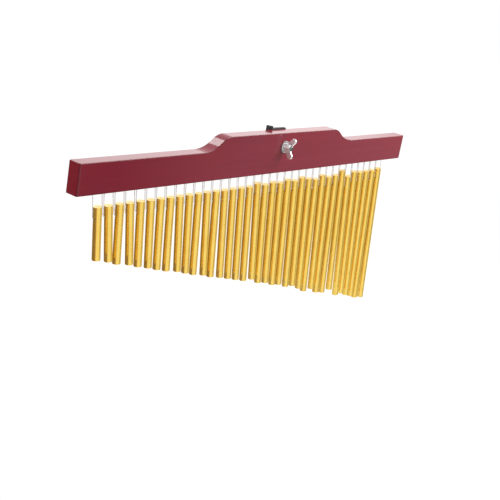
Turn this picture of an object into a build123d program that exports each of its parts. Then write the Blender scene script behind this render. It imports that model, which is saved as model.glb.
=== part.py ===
"""Bar chimes: a lacquered hardwood beam with a raised middle, a row of graded metal bars hung on
cord loops below it, and an eye bolt with a wing nut that clamps the beam to an upright stand rod.

Frame, in millimetres: origin at the centre of the eye, on the axis of the stand rod. +X runs along
the row towards the longest bar, +Y points back to the stand and +Z is up. The beam is clamped with
its long-bar end lower, and the bars hang down, some of them a little out of line.
"""
from build123d import *
from math import cos, radians, sin, sqrt, tan
import os

os.makedirs("parts", exist_ok=True)

# Beam: measured along its own length, from its short-bar end and its underside.
beam_length = 700.0
beam_height = 38.8
beam_thickness = 19.5
beam_edge = 0.6
beam_end_round = 2.5
beam_tilt = 8.8
hump_rise = 18.7
hump_top_length = 232.0
hump_ramp_run = 52.0
ramp_foot_share = 0.62
bolt_from_end = 375.0
bolt_above_underside = 37.5

# Chime bars: solid rods, each one step longer than the one before it.
bar_count = 36
bar_diameter = 10.5
bar_pitch = 17.5
first_bar_from_end = 40.3
shortest_bar = 68.0
bar_length_step = 4.8
bar_top_below_beam = 18.8
bar_hole_below_top = 14.5

# Height by which single bars hang above (+) or below (-) the even line, by bar number.
uneven_hang = {18: 3.4, 20: 1.7, 22: 2.4, 24: 3.2, 26: -2.2, 27: 2.3, 28: -1.4,
               30: 5.8, 31: -4.2, 32: 1.4, 36: 1.8}

# Lean of single bars along the row, in degrees, foot towards the long bars (+) or the short (-).
bar_lean = {1: -2, 3: -3.5, 5: -2, 6: -1.5, 7: -2.5, 8: -2.5, 10: -1, 11: -2, 13: -1.5,
            18: 1, 22: -0.5, 26: -1, 28: -1, 29: -1, 31: 1, 32: 0.5, 34: -0.5, 35: -1.5, 36: -1}

# Hanging cord: one loop for each bar, drawn with four flats.
cord_width = 1.0
cord_side_gap = 1.1
cord_bend = 1.4
cord_seat_depth = 8.0
cord_seat_gap = 0.1
cord_hole_gap = 0.35

# Eye bolt and the rod it takes.
eye_bore_diameter = 13.0
eye_wall = 3.0
eye_length = 12.0
eye_edge = 0.8
bolt_diameter = 6.0
bolt_end_chamfer = 0.6
bolt_past_nut = 2.4
bolt_turn_gap = 0.08

# Saddle plate behind the beam, with its left edge bent back and standing higher.
saddle_thickness = 3.5
saddle_above_hump = 2.2
saddle_ear_rise = 2.8
saddle_flat_left = 9.0
saddle_flat_right = 21.5
saddle_bend_radius = 2.0
saddle_flange = 2.5
saddle_rod_gap = 0.1
saddle_window_gap = 0.6
saddle_corner = 3.0

# Washer and wing nut.
washer_diameter = 17.0
washer_thickness = 1.6
washer_bolt_gap = 0.3
nut_hub_base = 12.4
nut_hub_top = 9.6
nut_hub_height = 9.4
nut_thread_gap = 0.05
wing_span = 29.0
wing_tip_height = 14.6
wing_tip_radius = 3.6
wing_root_width = 5.0
wing_thickness = 3.0
wing_angle = 18.0

# Directions of the tilted beam: along its length and up through its height.
tilt = radians(beam_tilt)
along = Vector(cos(tilt), 0, -sin(tilt))
upward = Vector(sin(tilt), 0, cos(tilt))

# Stations behind and in front of the beam, on the bolt axis.
eye_bore_radius = eye_bore_diameter / 2
eye_outer_radius = eye_bore_radius + eye_wall
bolt_radius = bolt_diameter / 2
saddle_back_y = -(eye_bore_radius + saddle_rod_gap)
beam_back_y = saddle_back_y - saddle_thickness
beam_middle_y = beam_back_y - beam_thickness / 2
beam_front_y = beam_back_y - beam_thickness
nut_seat_y = beam_front_y - washer_thickness
bolt_tip_y = nut_seat_y - nut_hub_height - bolt_past_nut


def on_beam(distance, height):
    """Point on the beam's back face, from its short-bar end and its underside."""
    point = along * (distance - bolt_from_end) + upward * (height - bolt_above_underside)
    return Vector(point.X, beam_back_y, point.Z)


# Beam: one board with a raised middle between two ogee ramps.
beam_face = Plane(origin=on_beam(0, 0), x_dir=along, z_dir=(0, -1, 0))
hump_top = beam_height + hump_rise
hump_left = bolt_from_end - hump_top_length / 2
hump_right = bolt_from_end + hump_top_length / 2
ramp_left = hump_left - hump_ramp_run
ramp_right = hump_right + hump_ramp_run
foot_run = hump_ramp_run * ramp_foot_share
foot_top = beam_height + hump_rise * ramp_foot_share

# Hanging points, bar tops, holes and lengths.
hang_points = []
bar_tops = []
bar_lengths = []
for number in range(1, bar_count + 1):
    place = first_bar_from_end + (number - 1) * bar_pitch
    point = on_beam(place, 0)
    hang_points.append(Vector(point.X, beam_middle_y, point.Z))
    bar_tops.append(point.Z - bar_top_below_beam + uneven_hang.get(number, 0))
    bar_lengths.append(shortest_bar + (number - 1) * bar_length_step)

strand_reach = bar_diameter / 2 + cord_side_gap + cord_width / 2
bar_hole_width = cord_width * sqrt(2) + 2 * cord_hole_gap
cord_seats = []
for point in hang_points:
    for side in (-1, 1):
        drop = -side * strand_reach * tan(tilt)
        cord_seats.append(Vector(point.X + side * strand_reach, beam_middle_y, point.Z + drop))

with BuildPart() as beam:
    with BuildSketch(beam_face):
        with BuildLine():
            Line((0, beam_height), (0, 0))
            Line((0, 0), (beam_length, 0))
            Line((beam_length, 0), (beam_length, beam_height))
            Line((beam_length, beam_height), (ramp_right, beam_height))
            right_foot = TangentArc(
                (ramp_right, beam_height),
                (ramp_right - foot_run, foot_top),
                tangent=(-1, 0),
            )
            TangentArc(right_foot @ 1, (hump_right, hump_top), tangent=right_foot % 1)
            Line((hump_right, hump_top), (hump_left, hump_top))
            left_brow = TangentArc(
                (hump_left, hump_top),
                (ramp_left + foot_run, foot_top),
                tangent=(-1, 0),
            )
            TangentArc(left_brow @ 1, (ramp_left, beam_height), tangent=left_brow % 1)
            Line((ramp_left, beam_height), (0, beam_height))
        make_face()
    extrude(amount=beam_thickness)
    fillet(beam.edges().filter_by(Axis((0, 0, 0), upward)), radius=beam_end_round)
    rims = beam.faces().filter_by(Axis.Y).edges()
    chamfer(rims.filter_by(Axis((0, 0, 0), upward), reverse=True), length=beam_edge)
    with BuildSketch(Plane(origin=(0, beam_back_y, 0), z_dir=(0, -1, 0))):
        Circle(bolt_radius + bolt_turn_gap)
    extrude(amount=beam_thickness, mode=Mode.SUBTRACT)
    with Locations(*cord_seats):
        Box(
            cord_width + 2 * cord_seat_gap,
            cord_width + 2 * cord_seat_gap,
            2 * cord_seat_depth,
            mode=Mode.SUBTRACT,
        )
beam.part.label = "beam"
export_step(beam.part, "parts/beam.step")

# Hanging cords: down from the beam, through the bar's cross hole and up again.
with BuildPart() as cords:
    for index in range(bar_count):
        hole_z = bar_tops[index] - bar_hole_below_top
        left = cord_seats[2 * index]
        right = cord_seats[2 * index + 1]
        end_rise = Vector(0, 0, cord_seat_depth - cord_seat_gap)
        with BuildLine() as loop:
            Polyline(
                left + end_rise,
                (left.X, beam_middle_y, hole_z + cord_bend),
                (left.X + cord_bend, beam_middle_y, hole_z),
                (right.X - cord_bend, beam_middle_y, hole_z),
                (right.X, beam_middle_y, hole_z + cord_bend),
                right + end_rise,
            )
        with BuildSketch(Plane(origin=loop.line @ 0, x_dir=(1, 0, 0), z_dir=loop.line % 0)):
            Rectangle(cord_width, cord_width)
        sweep(path=loop.line, transition=Transition.RIGHT)
cords.part.label = "hanging_cords"
export_step(cords.part, "parts/hanging_cords.step")

# Chime bars: plain rods with a cross hole for the cord.
for index in range(bar_count):
    name = f"chime_bar_{index + 1:02d}"
    lean = radians(bar_lean.get(index + 1, 0))
    down = Vector(sin(lean), 0, -cos(lean))
    across = Vector(cos(lean), 0, sin(lean))
    hole = Vector(hang_points[index].X, beam_middle_y, bar_tops[index] - bar_hole_below_top)
    with BuildPart() as bar:
        with BuildSketch(Plane(hole - down * bar_hole_below_top, x_dir=across, z_dir=down)):
            Circle(bar_diameter / 2)
        extrude(amount=bar_lengths[index])
        with BuildSketch(Plane(origin=hole, x_dir=(0, 1, 0), z_dir=across)):
            Rectangle(bar_hole_width, bar_hole_width)
        extrude(amount=bar_diameter, both=True, mode=Mode.SUBTRACT)
    bar.part.label = name
    export_step(bar.part, f"parts/{name}.step")

# Saddle plate: flat behind the beam, open round the eye, with its left edge bent back as an ear.
saddle_height = 2 * (hump_top - bolt_above_underside + saddle_above_hump)
saddle_foot = Plane(origin=upward * (-saddle_height / 2), x_dir=along, z_dir=upward)
bend_y = saddle_back_y + saddle_bend_radius
bend_centre = (-saddle_flat_left, bend_y)
flange_outer = -saddle_flat_left - saddle_bend_radius - saddle_thickness
flange_inner = -saddle_flat_left - saddle_bend_radius
window_radius = sqrt(eye_outer_radius**2 + (eye_length / 2) ** 2) + saddle_window_gap
with BuildPart() as saddle:
    with BuildSketch(saddle_foot):
        with BuildLine():
            Line((saddle_flat_right, beam_back_y), (-saddle_flat_left, beam_back_y))
            CenterArc(bend_centre, saddle_bend_radius + saddle_thickness, 270, -90)
            Polyline(
                (flange_outer, bend_y),
                (flange_outer, bend_y + saddle_flange),
                (flange_inner, bend_y + saddle_flange),
                (flange_inner, bend_y),
            )
            CenterArc(bend_centre, saddle_bend_radius, 270, -90)
            Line((-saddle_flat_left, saddle_back_y), (saddle_flat_right, saddle_back_y))
            Line((saddle_flat_right, saddle_back_y), (saddle_flat_right, beam_back_y))
        make_face()
    extrude(amount=saddle_height + saddle_ear_rise)
    with BuildSketch(saddle_foot.offset(saddle_height)):
        with Locations((-saddle_flat_left, beam_back_y)):
            Rectangle(
                saddle_flat_left + saddle_flat_right,
                saddle_thickness,
                align=(Align.MIN, Align.MIN),
            )
    extrude(amount=saddle_ear_rise, mode=Mode.SUBTRACT)
    right_end = saddle.faces().sort_by(Axis((0, 0, 0), along))[-1]
    fillet(right_end.edges().filter_by(Axis.Y), radius=saddle_corner)
    with BuildSketch(Plane(origin=(0, beam_back_y, 0), z_dir=(0, 1, 0))):
        Circle(window_radius)
    extrude(amount=bend_y + saddle_flange - beam_back_y, mode=Mode.SUBTRACT)
saddle.part.label = "saddle_plate"
export_step(saddle.part, "parts/saddle_plate.step")

# Eye bolt: an upright eye for the stand rod on a plain shank.
with BuildPart() as eye_bolt:
    with BuildSketch(Plane.XY.offset(-eye_length / 2)):
        Circle(eye_outer_radius)
    extrude(amount=eye_length)
    chamfer(eye_bolt.edges().filter_by(GeomType.CIRCLE), length=eye_edge)
    with BuildSketch(Plane(origin=(0, -eye_bore_radius, 0), z_dir=(0, -1, 0))):
        Circle(bolt_radius)
    extrude(amount=-bolt_tip_y - eye_bore_radius)
    tip = eye_bolt.faces().sort_by(Axis.Y)[0]
    chamfer(tip.edges(), length=bolt_end_chamfer)
    with BuildSketch(Plane.XY.offset(-eye_length / 2)):
        Circle(eye_bore_radius)
    extrude(amount=eye_length, mode=Mode.SUBTRACT)
eye_bolt.part.label = "eye_bolt"
export_step(eye_bolt.part, "parts/eye_bolt.step")

# Flat washer under the wing nut.
with BuildPart() as washer:
    with BuildSketch(Plane(origin=(0, beam_front_y, 0), z_dir=(0, -1, 0))):
        Circle(washer_diameter / 2)
        Circle(bolt_radius + washer_bolt_gap, mode=Mode.SUBTRACT)
    extrude(amount=washer_thickness)
washer.part.label = "flat_washer"
export_step(washer.part, "parts/flat_washer.step")

# Wing nut: a tapered hub with two rounded wings that flare away from the beam.
turn = radians(wing_angle)
wing_out = Vector(sin(turn), 0, cos(turn))
nut_seat = Plane(origin=(0, nut_seat_y, 0), x_dir=wing_out, z_dir=(0, -1, 0))
wing_side = Plane(origin=(0, nut_seat_y, 0), x_dir=wing_out, z_dir=(cos(turn), 0, -sin(turn)))
with BuildPart() as wing_nut:
    with BuildSketch(nut_seat):
        Circle(nut_hub_base / 2)
    with BuildSketch(nut_seat.offset(nut_hub_height)):
        Circle(nut_hub_top / 2)
    loft()
    with BuildSketch(wing_side):
        with Locations((wing_span / 2 - wing_tip_radius, wing_tip_height - wing_tip_radius)):
            Circle(wing_tip_radius)
        with Locations((nut_hub_top / 2 - wing_root_width / 2, nut_hub_height / 2)):
            Rectangle(wing_root_width, wing_root_width)
        make_hull()
    extrude(amount=wing_thickness / 2, both=True)
    with BuildSketch(wing_side):
        with Locations((wing_tip_radius - wing_span / 2, wing_tip_height - wing_tip_radius)):
            Circle(wing_tip_radius)
        with Locations((wing_root_width / 2 - nut_hub_top / 2, nut_hub_height / 2)):
            Rectangle(wing_root_width, wing_root_width)
        make_hull()
    extrude(amount=wing_thickness / 2, both=True)
    with BuildSketch(nut_seat):
        Circle(bolt_radius + nut_thread_gap)
    extrude(amount=wing_tip_height, mode=Mode.SUBTRACT)
wing_nut.part.label = "wing_nut"
export_step(wing_nut.part, "parts/wing_nut.step")

# The cords as drawn: section times length against the solids.
loop_length = 0.0
for index in range(bar_count):
    hole_z = bar_tops[index] - bar_hole_below_top
    left = cord_seats[2 * index]
    right = cord_seats[2 * index + 1]
    runs = left.Z + right.Z - 2 * hole_z + 2 * (cord_seat_depth - cord_seat_gap)
    loop_length += runs + 2 * strand_reach - 4 * cord_bend + 2 * sqrt(2) * cord_bend
print(f"cord loops {loop_length:.1f} mm in all")
print(f"cord volume {cords.part.volume:.1f} mm3, section times length {loop_length * cord_width**2:.1f} mm3")
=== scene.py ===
"""Bar chimes in a plain white studio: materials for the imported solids, the hanging cords, light and
camera. Metres, in the part's own frame: +X along the row to the longest bar, +Y back to the stand,
+Z up, origin at the centre of the eye.
"""
from math import cos, radians, sin, tan, tau as TAU

import bpy
from mathutils import Matrix, Vector


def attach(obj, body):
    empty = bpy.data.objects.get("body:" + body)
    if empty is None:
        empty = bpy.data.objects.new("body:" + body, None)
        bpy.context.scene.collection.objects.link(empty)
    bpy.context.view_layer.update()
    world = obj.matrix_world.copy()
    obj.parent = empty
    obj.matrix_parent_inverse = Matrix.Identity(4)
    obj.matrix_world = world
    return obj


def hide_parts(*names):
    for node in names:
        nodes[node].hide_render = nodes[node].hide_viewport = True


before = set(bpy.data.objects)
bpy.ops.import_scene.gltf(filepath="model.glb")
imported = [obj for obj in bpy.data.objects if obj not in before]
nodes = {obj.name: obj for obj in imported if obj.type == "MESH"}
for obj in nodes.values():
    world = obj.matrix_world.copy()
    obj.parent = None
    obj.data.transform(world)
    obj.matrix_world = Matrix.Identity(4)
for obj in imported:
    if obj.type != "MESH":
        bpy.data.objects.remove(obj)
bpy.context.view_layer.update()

scene = bpy.context.scene

# The beam and the row of bars, as in the part's source.
TILT = radians(8.8)
ALONG = Vector((cos(TILT), 0, -sin(TILT)))
UPWARD = Vector((sin(TILT), 0, cos(TILT)))
BEAM_MIDDLE_Y = -0.01985
BOLT_FROM_END = 0.375
BOLT_ABOVE_UNDERSIDE = 0.0375
BAR_COUNT = 36
BAR_PITCH = 0.0175
FIRST_BAR_FROM_END = 0.0403
BAR_TOP_BELOW_BEAM = 0.0188
BAR_HOLE_BELOW_TOP = 0.0145
# Bars that hang higher than the straight row, or lower where negative.
UNEVEN_HANG = {18: 0.0034, 20: 0.0017, 22: 0.0024, 24: 0.0032, 26: -0.0022, 27: 0.0023,
               28: -0.0014, 30: 0.0058, 31: -0.0042, 32: 0.0014, 36: 0.0018}
# Half the distance between the two strands of a loop, at the beam and at the bar.
STRAND_REACH = 0.00685
STRAND_REACH_AT_BAR = 0.0075
CORD_DIAMETER = 0.001
THREADS_PER_METRE = 1000
CORD_END_RISE = 0.0079
CORD_SAG_IN_HOLE = 0.0003
CORD_STRAIGHT_ABOVE_HOLE = 0.006
# A band texture of scale 1 repeats every TAU / 20.
BANDS_PER_TAU = 20

# The studio.
FLOOR_HEIGHT = -1.0
FLOOR_REACH = 12.0
SCREEN_RADIUS = 1.3
SCREEN_LOW = -0.97
SCREEN_HIGH = 0.0
FILL_LEVEL = 0.18
WHITE_LEVEL = 1.0

# The photograph's camera.
CAMERA_LENS = 70.06
CAMERA_SENSOR = 36
CAMERA_PLACE = (-1.03567, -0.81827, 0.43712)
CAMERA_RIGHT = Vector((0.65173, -0.75529, 0.06927))
CAMERA_UP = Vector((0.27677, 0.32186, 0.90543))
CAMERA_FORWARD = Vector((0.70615, 0.57092, -0.4188))


def new_material(name):
    """An empty node material with one Principled shader, and its tree and shader."""
    made = bpy.data.materials.new(name)
    made.use_nodes = True
    tree = made.node_tree
    shader = next(n for n in tree.nodes if n.type == "BSDF_PRINCIPLED")
    return made, tree, shader


def add_node(tree, kind, **settings):
    node = tree.nodes.new(kind)
    for key, value in settings.items():
        setattr(node, key, value)
    return node


def object_space(tree, cell=(1, 1, 1), rotation=(0, 0, 0)):
    """Object coordinates in a turned grid, with cells of the given size."""
    coordinates = add_node(tree, "ShaderNodeTexCoord")
    mapping = add_node(tree, "ShaderNodeMapping", vector_type="TEXTURE")
    mapping.inputs["Scale"].default_value = cell
    mapping.inputs["Rotation"].default_value = rotation
    tree.links.new(coordinates.outputs["Object"], mapping.inputs["Vector"])
    return mapping.outputs["Vector"]


def noise(tree, vector, scale, detail=3.0, roughness=0.5, distortion=0.0):
    node = add_node(tree, "ShaderNodeTexNoise")
    node.inputs["Scale"].default_value = scale
    node.inputs["Detail"].default_value = detail
    node.inputs["Roughness"].default_value = roughness
    node.inputs["Distortion"].default_value = distortion
    tree.links.new(vector, node.inputs["Vector"])
    return node.outputs["Fac"]


def ramp(tree, factor, stops):
    """Colour ramp with (position, (r, g, b)) stops."""
    node = add_node(tree, "ShaderNodeValToRGB")
    elements = node.color_ramp.elements
    while len(elements) < len(stops):
        elements.new(0.5)
    for element, (position, colour) in zip(elements, stops):
        element.position = position
        element.color = (*colour, 1)
    tree.links.new(factor, node.inputs["Fac"])
    return node.outputs["Color"]


def remap(tree, value, start, end, low=0.0, high=1.0):
    """Maps start to end onto low to high, and holds the ends."""
    node = add_node(tree, "ShaderNodeMapRange")
    node.inputs["From Min"].default_value = start
    node.inputs["From Max"].default_value = end
    node.inputs["To Min"].default_value = low
    node.inputs["To Max"].default_value = high
    tree.links.new(value, node.inputs["Value"])
    return node.outputs["Result"]


def spread(tree, factor, low, high):
    """Maps the middle of a noise onto low to high."""
    return remap(tree, factor, 0.3, 0.7, low, high)


def relief(tree, shader, height, strength, distance, edge_radius):
    """Bump over softened edges, into the shader's normal."""
    bevel = add_node(tree, "ShaderNodeBevel", samples=4)
    bevel.inputs["Radius"].default_value = edge_radius
    bump = add_node(tree, "ShaderNodeBump")
    bump.inputs["Strength"].default_value = strength
    bump.inputs["Distance"].default_value = distance
    tree.links.new(height, bump.inputs["Height"])
    tree.links.new(bevel.outputs["Normal"], bump.inputs["Normal"])
    tree.links.new(bump.outputs["Normal"], shader.inputs["Normal"])


def edge_share(tree, radius, patches, least=0.1):
    """0 on flat faces, up to 1 in patches where a rounded normal leaves the true one."""
    bevel = add_node(tree, "ShaderNodeBevel", samples=6)
    bevel.inputs["Radius"].default_value = radius
    geometry = add_node(tree, "ShaderNodeNewGeometry")
    dot = add_node(tree, "ShaderNodeVectorMath", operation="DOT_PRODUCT")
    tree.links.new(bevel.outputs["Normal"], dot.inputs[0])
    tree.links.new(geometry.outputs["Normal"], dot.inputs[1])
    share = add_node(tree, "ShaderNodeMath", operation="MULTIPLY")
    tree.links.new(remap(tree, dot.outputs["Value"], 0.99, 0.82), share.inputs[0])
    tree.links.new(spread(tree, patches, least, 1.0), share.inputs[1])
    return share.outputs[0]


def blend(tree, share, colour, second_colour):
    """The colour, turning to the second one with the share."""
    mix = add_node(tree, "ShaderNodeMixRGB")
    mix.inputs["Color2"].default_value = (*second_colour, 1)
    tree.links.new(share, mix.inputs["Fac"])
    tree.links.new(colour, mix.inputs["Color1"])
    return mix.outputs["Color"]


def facing(tree, axis):
    """How squarely a face looks along an axis of the part, 0 to 1."""
    coordinates = add_node(tree, "ShaderNodeTexCoord")
    parts = add_node(tree, "ShaderNodeSeparateXYZ")
    tree.links.new(coordinates.outputs["Normal"], parts.inputs["Vector"])
    size = add_node(tree, "ShaderNodeMath", operation="ABSOLUTE")
    tree.links.new(parts.outputs[axis], size.inputs[0])
    return size.outputs[0]


def lacquer():
    deep_red = (0.33, 0.006, 0.022)
    painted_dark_edge = (0.10, 0.005, 0.014)
    half_edge_shade = (0.42, 0.42, 0.42)
    made, tree, shader = new_material("red_lacquer")
    grain_space = object_space(tree, (0.5, 0.012, 0.012), (0, TILT, 0))
    grain = noise(tree, grain_space, 2.0, detail=6, roughness=0.6, distortion=0.3)
    colour = ramp(tree, grain, [
        (0.30, (0.262, 0.010, 0.030)),
        (0.52, (0.292, 0.013, 0.037)),
        (0.75, (0.322, 0.017, 0.045)),
    ])
    # Painted shade: along the rounded edges the base colour turns dark red and the coat thins out, a
    # painted dark line where the edges' reflections are dark.
    eased = ramp(tree, facing(tree, "Y"), [
        (0.15, (0, 0, 0)),
        (0.45, half_edge_shade),
        (0.90, half_edge_shade),
        (0.98, (0, 0, 0)),
    ])
    either = add_node(tree, "ShaderNodeMath", operation="MAXIMUM")
    tree.links.new(eased, either.inputs[0])
    beside = edge_share(tree, 0.0016, noise(tree, object_space(tree), 60), least=0.6)
    tree.links.new(beside, either.inputs[1])
    edges = either.outputs[0]
    depth = noise(tree, object_space(tree), 16, roughness=0.55)
    stained = blend(tree, spread(tree, depth, 0.0, 0.7), colour, deep_red)
    edge_wear_and_shade = blend(tree, edges, stained, painted_dark_edge)
    tree.links.new(edge_wear_and_shade, shader.inputs["Base Color"])
    tree.links.new(spread(tree, grain, 0.30, 0.42), shader.inputs["Roughness"])
    shader.inputs["Specular IOR Level"].default_value = 0.0
    tree.links.new(remap(tree, edges, 0.0, 1.0, 1.0, 0.1), shader.inputs["Coat Weight"])
    shader.inputs["Coat Roughness"].default_value = 0.14
    shader.inputs["Coat IOR"].default_value = 1.5
    peel = noise(tree, object_space(tree), 160, detail=2)
    relief(tree, shader, peel, strength=0.035, distance=0.0006, edge_radius=0.0004)
    return made


def gold():
    cut_metal = (0.93, 0.78, 0.46)
    bright_edge = (0.97, 0.76, 0.32)
    dulling_of_ends = 0.12
    made, tree, shader = new_material("gold_bar")
    drawn = noise(tree, object_space(tree, (1, 1, 60)), 1400, detail=2)
    cloud = noise(tree, object_space(tree), 55)
    colour = ramp(tree, cloud, [
        (0.30, (0.94, 0.640, 0.140)),
        (0.70, (0.98, 0.700, 0.170)),
    ])
    sawn = remap(tree, facing(tree, "Z"), 0.80, 0.92)
    two_tone = blend(tree, sawn, colour, cut_metal)
    edges = edge_share(tree, 0.0004, cloud)
    edge_wear_and_shade = blend(tree, edges, two_tone, bright_edge)
    tree.links.new(edge_wear_and_shade, shader.inputs["Base Color"])
    dulled = add_node(tree, "ShaderNodeMath", operation="MULTIPLY_ADD")
    dulled.inputs[1].default_value = dulling_of_ends
    tree.links.new(sawn, dulled.inputs[0])
    tree.links.new(spread(tree, drawn, 0.20, 0.28), dulled.inputs[2])
    tree.links.new(dulled.outputs[0], shader.inputs["Roughness"])
    shader.inputs["Metallic"].default_value = 1.0
    shader.inputs["Specular Tint"].default_value = (1.0, 0.80, 0.42, 1)
    relief(tree, shader, drawn, strength=0.015, distance=0.00004, edge_radius=0.0004)
    return made


def zinc():
    painted_recess_shade = (0.06, 0.06, 0.065)
    bright_edge = (0.86, 0.86, 0.86)
    made, tree, shader = new_material("zinc")
    spangle = noise(tree, object_space(tree), 420, detail=4, roughness=0.6)
    colour = ramp(tree, spangle, [
        (0.30, (0.80, 0.81, 0.82)),
        (0.70, (0.93, 0.94, 0.95)),
    ])
    # Painted shade: ambient occlusion darkens the colour to near black in the recesses between hub,
    # wings and washer.
    recess = add_node(tree, "ShaderNodeAmbientOcclusion", samples=8)
    recess.inputs["Distance"].default_value = 0.008
    closed_in = remap(tree, recess.outputs["AO"], 0.3, 0.85, 1.0, 0.0)
    recess_shaded = blend(tree, closed_in, colour, painted_recess_shade)
    edges = edge_share(tree, 0.0006, spangle)
    edge_wear_and_shade = blend(tree, edges, recess_shaded, bright_edge)
    tree.links.new(edge_wear_and_shade, shader.inputs["Base Color"])
    tree.links.new(spread(tree, spangle, 0.26, 0.38), shader.inputs["Roughness"])
    shader.inputs["Metallic"].default_value = 0.75
    relief(tree, shader, spangle, strength=0.12, distance=0.0001, edge_radius=0.0004)
    return made


def threaded_steel():
    made, tree, shader = new_material("threaded_steel")
    thread = add_node(tree, "ShaderNodeTexWave", wave_type="BANDS", bands_direction="Y")
    thread.inputs["Scale"].default_value = THREADS_PER_METRE / BANDS_PER_TAU * TAU
    tree.links.new(object_space(tree), thread.inputs["Vector"])
    groove = thread.outputs["Fac"]
    # Painted shade: the colour is darker in the thread's grooves and lighter on its crests.
    colour = ramp(tree, groove, [
        (0.25, (0.10, 0.10, 0.105)),
        (0.80, (0.30, 0.30, 0.31)),
    ])
    tree.links.new(colour, shader.inputs["Base Color"])
    tree.links.new(spread(tree, groove, 0.42, 0.30), shader.inputs["Roughness"])
    shader.inputs["Metallic"].default_value = 1.0
    relief(tree, shader, groove, strength=0.6, distance=0.0004, edge_radius=0.0003)
    return made


def black_steel():
    bare_edge = (0.14, 0.14, 0.145)
    made, tree, shader = new_material("black_steel")
    speckle = noise(tree, object_space(tree), 900)
    colour = ramp(tree, speckle, [
        (0.30, (0.024, 0.024, 0.026)),
        (0.70, (0.042, 0.042, 0.045)),
    ])
    edges = edge_share(tree, 0.0007, noise(tree, object_space(tree), 240))
    edge_wear_and_shade = blend(tree, edges, colour, bare_edge)
    tree.links.new(edge_wear_and_shade, shader.inputs["Base Color"])
    tree.links.new(spread(tree, speckle, 0.30, 0.42), shader.inputs["Roughness"])
    relief(tree, shader, speckle, strength=0.15, distance=0.0001, edge_radius=0.0006)
    return made


def nylon():
    made, tree, shader = new_material("nylon")
    strand = noise(tree, object_space(tree, (1, 1, 7)), 1500, detail=2)
    colour = ramp(tree, strand, [
        (0.30, (0.90, 0.87, 0.88)),
        (0.70, (0.96, 0.94, 0.95)),
    ])
    tree.links.new(colour, shader.inputs["Base Color"])
    tree.links.new(spread(tree, strand, 0.22, 0.36), shader.inputs["Roughness"])
    shader.inputs["Transmission Weight"].default_value = 0.6
    shader.inputs["IOR"].default_value = 1.5
    return made


finishes = {
    "red_lacquer": lacquer(),
    "gold_bar": gold(),
    "zinc": zinc(),
    "threaded_steel": threaded_steel(),
    "black_steel": black_steel(),
    "nylon": nylon(),
}


def finish_of(name):
    if name.startswith("chime_bar"):
        return "gold_bar"
    return {
        "beam": "red_lacquer",
        "hanging_cords": "nylon",
        "saddle_plate": "black_steel",
        "eye_bolt": "threaded_steel",
    }.get(name, "zinc")


for name, item in nodes.items():
    item.data.materials.clear()
    item.data.materials.append(finishes[finish_of(name)])


def hang_point(number):
    """Middle of the beam's underside above a bar."""
    place = FIRST_BAR_FROM_END + (number - 1) * BAR_PITCH
    point = ALONG * (place - BOLT_FROM_END) - UPWARD * BOLT_ABOVE_UNDERSIDE
    return Vector((point.x, BEAM_MIDDLE_Y, point.z))


def hang_cord(number):
    """One loop: down out of the beam, through the bar's cross hole and up again."""
    point = hang_point(number)
    lift = UNEVEN_HANG.get(number, 0)
    hole_z = point.z - BAR_TOP_BELOW_BEAM + lift - BAR_HOLE_BELOW_TOP
    drop = STRAND_REACH * tan(TILT)
    left, right = point.x - STRAND_REACH, point.x + STRAND_REACH
    wide_left, wide_right = point.x - STRAND_REACH_AT_BAR, point.x + STRAND_REACH_AT_BAR
    low = hole_z - CORD_SAG_IN_HOLE
    straight = hole_z + CORD_STRAIGHT_ABOVE_HOLE
    route = [
        (left, point.z + drop + CORD_END_RISE),
        (wide_left, straight),
        (wide_left, low),
        (wide_right, low),
        (wide_right, straight),
        (right, point.z - drop + CORD_END_RISE),
    ]
    curve = bpy.data.curves.new(f"hanging_cord_{number:02d}", "CURVE")
    curve.dimensions = "3D"
    spline = curve.splines.new("NURBS")
    spline.points.add(len(route) - 1)
    for control, (x, z) in zip(spline.points, route):
        control.co = (x, BEAM_MIDDLE_Y, z, 1)
    spline.order_u = 3
    spline.use_endpoint_u = True
    spline.resolution_u = 8
    curve.bevel_depth = CORD_DIAMETER / 2
    curve.bevel_resolution = 3
    curve.use_fill_caps = True
    curve.materials.append(finishes["nylon"])
    cord = bpy.data.objects.new(curve.name, curve)
    scene.collection.objects.link(cord)
    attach(cord, "beam")
    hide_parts("hanging_cords")


for number in range(1, BAR_COUNT + 1):
    hang_cord(number)


def see_background(tree):
    """1 for rays that see the background: camera, glossy and transmission rays."""
    path = add_node(tree, "ShaderNodeLightPath")
    first = add_node(tree, "ShaderNodeMath", operation="MAXIMUM")
    second = add_node(tree, "ShaderNodeMath", operation="MAXIMUM")
    tree.links.new(path.outputs["Is Camera Ray"], first.inputs[0])
    tree.links.new(path.outputs["Is Glossy Ray"], first.inputs[1])
    tree.links.new(first.outputs[0], second.inputs[0])
    tree.links.new(path.outputs["Is Transmission Ray"], second.inputs[1])
    return second.outputs[0]


def studio_world():
    world = bpy.data.worlds.new("studio")
    world.use_nodes = True
    tree = world.node_tree
    tree.nodes.clear()
    fill = add_node(tree, "ShaderNodeBackground")
    fill.inputs["Strength"].default_value = FILL_LEVEL
    white = add_node(tree, "ShaderNodeBackground")
    white.inputs["Strength"].default_value = WHITE_LEVEL
    for background in (fill, white):
        background.inputs["Color"].default_value = (1, 1, 1, 1)
    mix = add_node(tree, "ShaderNodeMixShader")
    output = add_node(tree, "ShaderNodeOutputWorld")
    tree.links.new(see_background(tree), mix.inputs[0])
    tree.links.new(fill.outputs[0], mix.inputs[1])
    tree.links.new(white.outputs[0], mix.inputs[2])
    tree.links.new(mix.outputs[0], output.inputs["Surface"])
    scene.world = world


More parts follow.
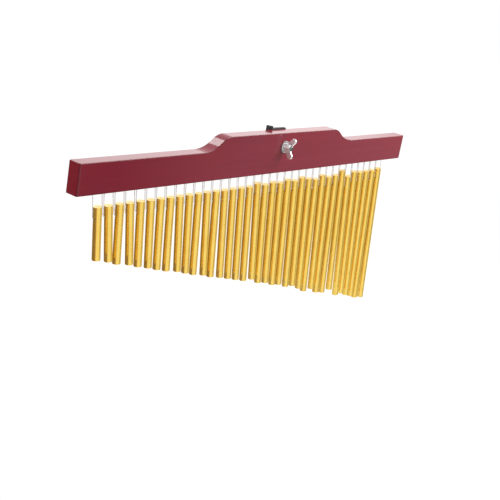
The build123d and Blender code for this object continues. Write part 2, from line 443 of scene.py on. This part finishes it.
def studio_floor(height, reach):
    """White paper that lifts itself to white for the rays that see the background."""
    mesh = bpy.data.meshes.new("floor")
    corners = [(-reach, -reach), (reach, -reach), (reach, reach), (-reach, reach)]
    mesh.from_pydata([(x, y, 0) for x, y in corners], [], [(0, 1, 2, 3)])
    made = bpy.data.materials.new("floor")
    made.use_nodes = True
    tree = made.node_tree
    tree.nodes.clear()
    paper = add_node(tree, "ShaderNodeBsdfDiffuse")
    paper.inputs["Color"].default_value = (0.82, 0.82, 0.82, 1)
    glow = add_node(tree, "ShaderNodeEmission")
    away = add_node(tree, "ShaderNodeVectorMath", operation="LENGTH")
    tree.links.new(object_space(tree), away.inputs[0])
    lift = remap(tree, away.outputs["Value"], 0.8, 3.0, 0.44, 0.87)
    strength = add_node(tree, "ShaderNodeMath", operation="MULTIPLY")
    tree.links.new(lift, strength.inputs[1])
    tree.links.new(see_background(tree), strength.inputs[0])
    tree.links.new(strength.outputs[0], glow.inputs["Strength"])
    both = add_node(tree, "ShaderNodeAddShader")
    output = add_node(tree, "ShaderNodeOutputMaterial")
    tree.links.new(paper.outputs[0], both.inputs[0])
    tree.links.new(glow.outputs[0], both.inputs[1])
    tree.links.new(both.outputs[0], output.inputs["Surface"])
    mesh.materials.append(made)
    floor = bpy.data.objects.new("floor", mesh)
    floor.location.z = height
    scene.collection.objects.link(floor)


def studio_screen(radius, low, high, tones):
    """A round screen that only reflections see, with (bearing from +X, colour) tones round it."""
    steps = 48
    corners = []
    for step in range(steps):
        angle = radians(360 * step / steps)
        corners += [(radius * cos(angle), radius * sin(angle), z) for z in (low, high)]
    faces = []
    for step in range(steps):
        first, second = 2 * step, 2 * ((step + 1) % steps)
        faces.append((first, second, second + 1, first + 1))
    mesh = bpy.data.meshes.new("screen")
    mesh.from_pydata(corners, [], faces)
    made = bpy.data.materials.new("screen")
    made.use_nodes = True
    tree = made.node_tree
    tree.nodes.clear()
    bearing = add_node(tree, "ShaderNodeTexGradient", gradient_type="RADIAL")
    tree.links.new(object_space(tree), bearing.inputs["Vector"])
    stops = sorted(((angle + 180) % 360 / 360, colour) for angle, colour in tones)
    glow = add_node(tree, "ShaderNodeEmission")
    glow.inputs["Strength"].default_value = 1.0
    tree.links.new(ramp(tree, bearing.outputs["Fac"], stops), glow.inputs["Color"])
    output = add_node(tree, "ShaderNodeOutputMaterial")
    tree.links.new(glow.outputs[0], output.inputs["Surface"])
    mesh.materials.append(made)
    screen = bpy.data.objects.new("screen", mesh)
    screen.visible_camera = False
    screen.visible_diffuse = False
    screen.visible_shadow = False
    scene.collection.objects.link(screen)


def softbox(name, place, target, width, height, power):
    """A rectangular lamp aimed at a target, hidden from the camera."""
    lamp = bpy.data.lights.new(name, "AREA")
    lamp.shape = "RECTANGLE"
    lamp.size, lamp.size_y = width, height
    lamp.energy = power
    holder = bpy.data.objects.new(name, lamp)
    holder.location = place
    holder.rotation_mode = "QUATERNION"
    aim = Vector(target) - Vector(place)
    holder.rotation_quaternion = aim.to_track_quat("-Z", "Y")
    holder.visible_camera = False
    scene.collection.objects.link(holder)


studio_world()
studio_floor(FLOOR_HEIGHT, FLOOR_REACH)
softbox("key", (1.0, -0.7, 0.7), (0, 0, -0.05), width=1.4, height=1.2, power=25.5)
softbox("top", (0.03, 1.02, 1.24), (-0.14, 0, 0), width=0.6, height=0.8, power=10)
softbox("back", (1.81, 1.255, 0.22), (0, 0, 0), width=1.5, height=0.7, power=2.3)
softbox("left_fill", (-1.9, 0.05, 0.66), (-0.37, 0, 0), width=1.0, height=1.0, power=10.5)
WHITE, GREY, DARK = (1, 1, 1), (0.6, 0.6, 0.6), (0.28, 0.28, 0.28)
WARM, WARM_DARK = (0.70, 0.52, 0.34), (0.27, 0.195, 0.135)
studio_screen(SCREEN_RADIUS, SCREEN_LOW, SCREEN_HIGH, [
    (70, WHITE), (92, WARM_DARK), (180, WARM_DARK), (190, WARM_DARK), (202, WARM), (213, WHITE),
    (285, WHITE), (297, DARK), (301, DARK), (313, GREY), (345, GREY), (358, WHITE),
])

camera = bpy.data.cameras.new("camera")
camera.lens = CAMERA_LENS
camera.sensor_width = CAMERA_SENSOR
camera.clip_start, camera.clip_end = 0.05, 50
view = bpy.data.objects.new("camera", camera)
turn = Matrix((CAMERA_RIGHT, CAMERA_UP, -CAMERA_FORWARD)).transposed()
view.rotation_mode = "QUATERNION"
view.rotation_quaternion = turn.to_quaternion()
view.location = CAMERA_PLACE
scene.collection.objects.link(view)
scene.camera = view

scene.view_settings.view_transform = "Standard"
